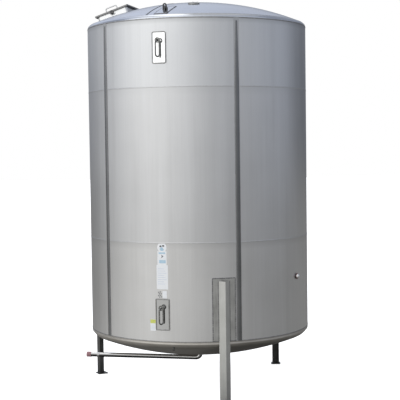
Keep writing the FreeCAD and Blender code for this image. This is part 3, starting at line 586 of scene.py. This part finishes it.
# ---- dome: lug pads, lug welds, vent bolts ------------------------------
LUG_WELD_STEPS = 24         # on each side of a pad
corners = [Vector((x * LUG_PAD_L / 2, y * LUG_PAD_W / 2))
           for x, y in ((1, 1), (-1, 1), (-1, -1), (1, -1))]
for number, azimuth in enumerate(LUG_AZIMUTHS):
    out = direction(azimuth)
    side = UP.cross(out)
    path = []
    for start, end in zip(corners, corners[1:] + corners[:1]):
        for k in range(LUG_WELD_STEPS):
            flat = start.lerp(end, k / LUG_WELD_STEPS)
            spot = out * (LUG_R + flat.x) + side * flat.y
            path.append(dome_pair(spot.x, spot.y))
    sweep("lug_pad_weld_%d" % (number + 1), path, *LUG_BEAD, dark_weld, True, wobble=0.10,
          slot="head_steel")

slope = VENT_PLACE_R / CROWN_R
vent_out = direction(VENT_AZIMUTH)
vent_up = UP * sqrt(1 - slope ** 2) + vent_out * slope
vent_side = UP.cross(vent_out)
vent_ahead = vent_side.cross(vent_up)
vent_centre = vent_out * VENT_PLACE_R + UP * dome_z(VENT_PLACE_R) + vent_up * VENT_COVER_TOP
VENT_BOLTS = 6
VENT_BOLT_RING_R = 0.050
VENT_BOLT_TURN = 0.3        # radians
bolt_verts, bolt_faces = [], []
for k in range(VENT_BOLTS):
    a = 2 * pi * k / VENT_BOLTS + VENT_BOLT_TURN
    radial = vent_side * (VENT_BOLT_RING_R * cos(a)) + vent_ahead * (VENT_BOLT_RING_R * sin(a))
    hex_head(bolt_verts, bolt_faces, vent_centre + radial, vent_up, *VENT_BOLT)
piece("vent_bolts", bolt_verts, bolt_faces, polished, smooth=False)

# ---- thermometer seal and earthing lug ----------------------------------
probe_out = direction(PROBE_AZIMUTH)
probe_side = UP.cross(probe_out)
SEAL_STEPS = 40
SEAL_OUT = 0.0105           # from the wall
SEAL_R = 0.0280
SEAL_THICK_R = 0.0034
seal = []
for k in range(SEAL_STEPS):
    a = 2 * pi * k / SEAL_STEPS
    radial = probe_side * cos(a) + UP * sin(a)
    seal.append((probe_out * (TANK_R + SEAL_OUT) + UP * PROBE_Z + radial * SEAL_R, probe_out))
sweep("probe_seal", seal, SEAL_THICK_R, SEAL_THICK_R, seal_plastic, True, full=True)

EARTH_AZIMUTH = -13.4
EARTH_IN = 0.026            # from the wall to the tab's back
EARTH_DOWN = 0.032          # from the lower joint to the tab's top
EARTH_HALF_W = 0.013
EARTH_BOLT_IN, EARTH_BOLT_DOWN = 0.022, 0.070
TAB_PROFILE = ((0.0, 0.0), (0.004, 0.0), (0.004, -0.058), (0.0, -0.062))
earth_out = direction(EARTH_AZIMUTH)
earth_side = UP.cross(earth_out)
tab_verts = []
for hand in (-1, 1):
    for x, z in TAB_PROFILE:
        spot = earth_out * (TANK_R - EARTH_IN + x) + UP * (LOW_Z - EARTH_DOWN + z)
        tab_verts.append(spot + earth_side * (hand * EARTH_HALF_W))
tab_faces = [(k, (k + 1) % 4, (k + 1) % 4 + 4, k + 4) for k in range(4)]
tab_faces += [(3, 2, 1, 0), (4, 5, 6, 7)]
bolt_place = earth_out * (TANK_R - EARTH_BOLT_IN) + UP * (LOW_Z - EARTH_BOLT_DOWN)
hex_head(tab_verts, tab_faces, bolt_place, earth_out, *EARTH_BOLT)
piece("earthing_lug", tab_verts, tab_faces, shaded_leg_steel, smooth=False)

# ---- printing on the labels: plain shapes, no lettering -----------------
PRINT_Z = 1.4               # the tall label's shapes are drawn from this height
MARKS_PLACE = (-19.55, 1.108)
decal("print_head_ring", [disc(-0.014, 0.202, 0.012, 0.009), disc(0.015, 0.206, 0.012, 0.009)],
      EYE_AZIMUTH, PRINT_Z, ink_dark)
drop = [(-0.024, 0.178)] + disc(0.0, 0.172, 0.022, 0.017, 16, 180.0, 360.0) + [(0.0, 0.196)]
decal("print_drop", [drop], EYE_AZIMUTH, PRINT_Z, ink_blue)
decal("print_arrow", [[(-0.010, 0.118), (0.016, 0.100), (-0.010, 0.082), (0.000, 0.100)]],
      EYE_AZIMUTH, PRINT_Z, ink_dark)
decal("print_field", [oblong(-0.036, 0.036, 0.125, 0.140), oblong(-0.030, 0.040, 0.030, 0.062)],
      EYE_AZIMUTH, PRINT_Z, ink_blue)
rows = [oblong(-0.048, 0.020 + 0.026 * ((k * 7) % 3) / 2, -0.030 - 0.022 * k, -0.024 - 0.022 * k)
        for k in range(8)]
decal("print_rows", rows, EYE_AZIMUTH, PRINT_Z, ink_pale)
tag_half_w, tag_half_h = TAG_SIZE[0] / 2 - 0.001, TAG_SIZE[1] / 2 - 0.001
decal("tag_band", [oblong(-tag_half_w, tag_half_w, tag_half_h - 0.038, tag_half_h)], *TAG_PLACE,
      ink_yellow)
rows = [oblong(-0.020, 0.018, -0.012 - 0.014 * k, -0.008 - 0.014 * k) for k in range(3)]
decal("tag_rows", rows, *TAG_PLACE, ink_pale)
grid = [oblong(x, x + 0.012, z, z + 0.010) for x, z in
        ((-0.022, 0.020), (-0.004, 0.024), (-0.016, 0.004), (0.004, 0.006), (-0.022, -0.014),
         (-0.002, -0.010), (-0.012, -0.028), (0.008, -0.026))]
decal("plate_marks", grid, *MARKS_PLACE, ink_dark, lift=0.0)

# ---- stage --------------------------------------------------------------
LIT_FROM = -50.0            # azimuth of the brightest part of the studio
GLOW_FROM = 72.0            # a weaker second window
SHADE_FROM = 150.0          # the side the studio leaves dark
SIDE_DARK = 0.26
SIDE_BRIGHT = 1.06
SIDE_POWER = 3.4            # how fast the walls of the studio darken away from LIT_FROM
GLOW_LEVEL = 0.19
FLOOR_GLOW = 0.135
FLOOR_UNDER = 0.13          # painted shadow: share of the studio's level that the floor shows under the tank
FLOOR_OPEN = 0.73           # and well away from it
FLOOR_REACH = (1.1, 2.6)    # metres from the middle between which the floor gets lighter
FLOOR_SIZE = 160


def studio_level(tree, heading):
    """Level of the studio's walls in the direction of a unit vector, and its lit share."""
    turned = tree.spread(tree.toward(heading, LIT_FROM), -1.0, 1.0)
    share = tree.math("POWER", turned, SIDE_POWER)
    level = tree.math("ADD", tree.math("MULTIPLY", share, SIDE_BRIGHT - SIDE_DARK), SIDE_DARK)
    return level, turned


bpy.ops.mesh.primitive_plane_add(size=FLOOR_SIZE)
floor = bpy.context.object
floor.name = "floor"
ground = Nodes("floor")
mottle = ground.spread(ground.noise((0.5, 0.5, 0.5)), 0.3, 0.7)
ground.link(ground.mix(mottle, (0.86, 0.86, 0.86), (0.90, 0.90, 0.90)),
            ground.shader.inputs["Base Color"])
ground.shader.inputs["Roughness"].default_value = 0.9
ground.shader.inputs["Emission Color"].default_value = (1, 1, 1, 1)
ground.shader.inputs["Emission Strength"].default_value = 0.90
# painted light and shadow: to every ray but the camera's the floor glows, brighter towards
# LIT_FROM and GLOW_FROM and darker under the tank
ahead = ground.add("ShaderNodeVectorMath", operation="NORMALIZE")
ground.link(ground.place, ahead.inputs[0])
lit, turned = studio_level(ground, ahead.outputs["Vector"])
glow = ground.spread(ground.toward(ahead.outputs["Vector"], GLOW_FROM), -0.15, 0.55, 0.0,
                     FLOOR_GLOW)
away = ground.add("ShaderNodeVectorMath", operation="LENGTH")
ground.link(ground.place, away.inputs[0])
painted_floor_shadow = ground.spread(away.outputs["Value"], *FLOOR_REACH, FLOOR_UNDER, FLOOR_OPEN)
dim = ground.add("ShaderNodeEmission")
dim.inputs["Color"].default_value = (1.0, 0.993, 0.972, 1)
ground.link(ground.math("MULTIPLY", ground.math("ADD", lit, glow), painted_floor_shadow),
            dim.inputs["Strength"])
ground.camera_sees(dim.outputs["Emission"], ground.shader.outputs["BSDF"],
                   ground.tree.nodes["Material Output"].inputs["Surface"])
floor.data.materials.append(ground.material)

# ---- light: a studio whose level depends on the direction ---------------
world = bpy.data.worlds.new("studio")
bpy.context.scene.world = world
world.use_nodes = True
world.node_tree.nodes.clear()
sky = Tree(world.node_tree)
heading = sky.add("ShaderNodeTexCoord").outputs["Generated"]
axes = sky.add("ShaderNodeSeparateXYZ")
sky.link(heading, axes.inputs["Vector"])
right, back, rise = (axes.outputs[letter] for letter in "XYZ")


def ramp(value, low, high, to_low, to_high):
    return sky.spread(value, low, high, to_low, to_high, "SMOOTHSTEP")


# the walls: brighter with height, a second window, and one dark side
side_level, turned = studio_level(sky, heading)
side_level = sky.math("MULTIPLY", side_level, ramp(rise, 0.0, 0.13, 1.0, 1.42))
side_level = sky.math("ADD", side_level,
                      ramp(sky.toward(heading, GLOW_FROM), 0.40, 0.95, 0.0, GLOW_LEVEL))
side_level = sky.math("MULTIPLY", side_level,
                      ramp(sky.toward(heading, SHADE_FROM), 0.55, 0.98, 1.0, 0.55))
side_tint = sky.mix(turned, (0.89, 0.96, 1.12), (1.0, 1.0, 1.0))
# the sky behind the tank, which the dome mirrors
sky_level = sky.math("MULTIPLY", ramp(right, -0.20, 0.60, 0.74, 0.34),
                     ramp(right, -0.90, -0.60, 0.40, 1.0))
sky_share = sky.math("MULTIPLY", ramp(back, -0.30, 0.05, 0.0, 1.0),
                     ramp(rise, 0.12, 0.42, 0.0, 1.0))
# a bright band overhead, on the left
skylight = sky.math("MULTIPLY", ramp(right, -0.50, -0.36, 0.0, 1.1),
                    ramp(right, -0.16, -0.04, 1.0, 0.0))
top_share = ramp(rise, 0.72, 0.95, 0.0, 1.0)
level = sky.mix(sky_share, side_level, sky_level)
level = sky.mix(top_share, level, sky.math("ADD", skylight, 0.58))
tint = sky.mix(sky_share, side_tint, (0.89, 0.95, 1.10))
tint = sky.mix(top_share, tint, (1.0, 1.0, 1.0))
studio = sky.add("ShaderNodeBackground")
sky.link(tint, studio.inputs["Color"])
sky.link(level, studio.inputs["Strength"])
backdrop = sky.add("ShaderNodeBackground")
backdrop.inputs["Color"].default_value = (1, 1, 1, 1)
backdrop.inputs["Strength"].default_value = 1.0
output = sky.add("ShaderNodeOutputWorld")
sky.camera_sees(studio.outputs["Background"], backdrop.outputs["Background"],
                output.inputs["Surface"])

# ---- camera -------------------------------------------------------------
CAMERA_BACK = 12.0
CAMERA_HEIGHT = 2.587
PITCH = 2.745
ROLL = 0.746
YAW = 0.0734
camera_data = bpy.data.cameras.new("camera")
camera_data.sensor_width = 36.0
camera_data.lens = 96.9
camera_data.clip_end = 300.0
camera = bpy.data.objects.new("camera", camera_data)
bpy.context.scene.collection.objects.link(camera)
turn = Matrix.Rotation(radians(-YAW), 4, "Z") @ Matrix.Rotation(radians(90 - PITCH), 4, "X")
turn = turn @ Matrix.Rotation(radians(-ROLL), 4, "Z")
camera.matrix_world = Matrix.Translation((0, -CAMERA_BACK, CAMERA_HEIGHT)) @ turn
bpy.context.scene.camera = camera
bpy.context.scene.view_settings.view_transform = "Standard"
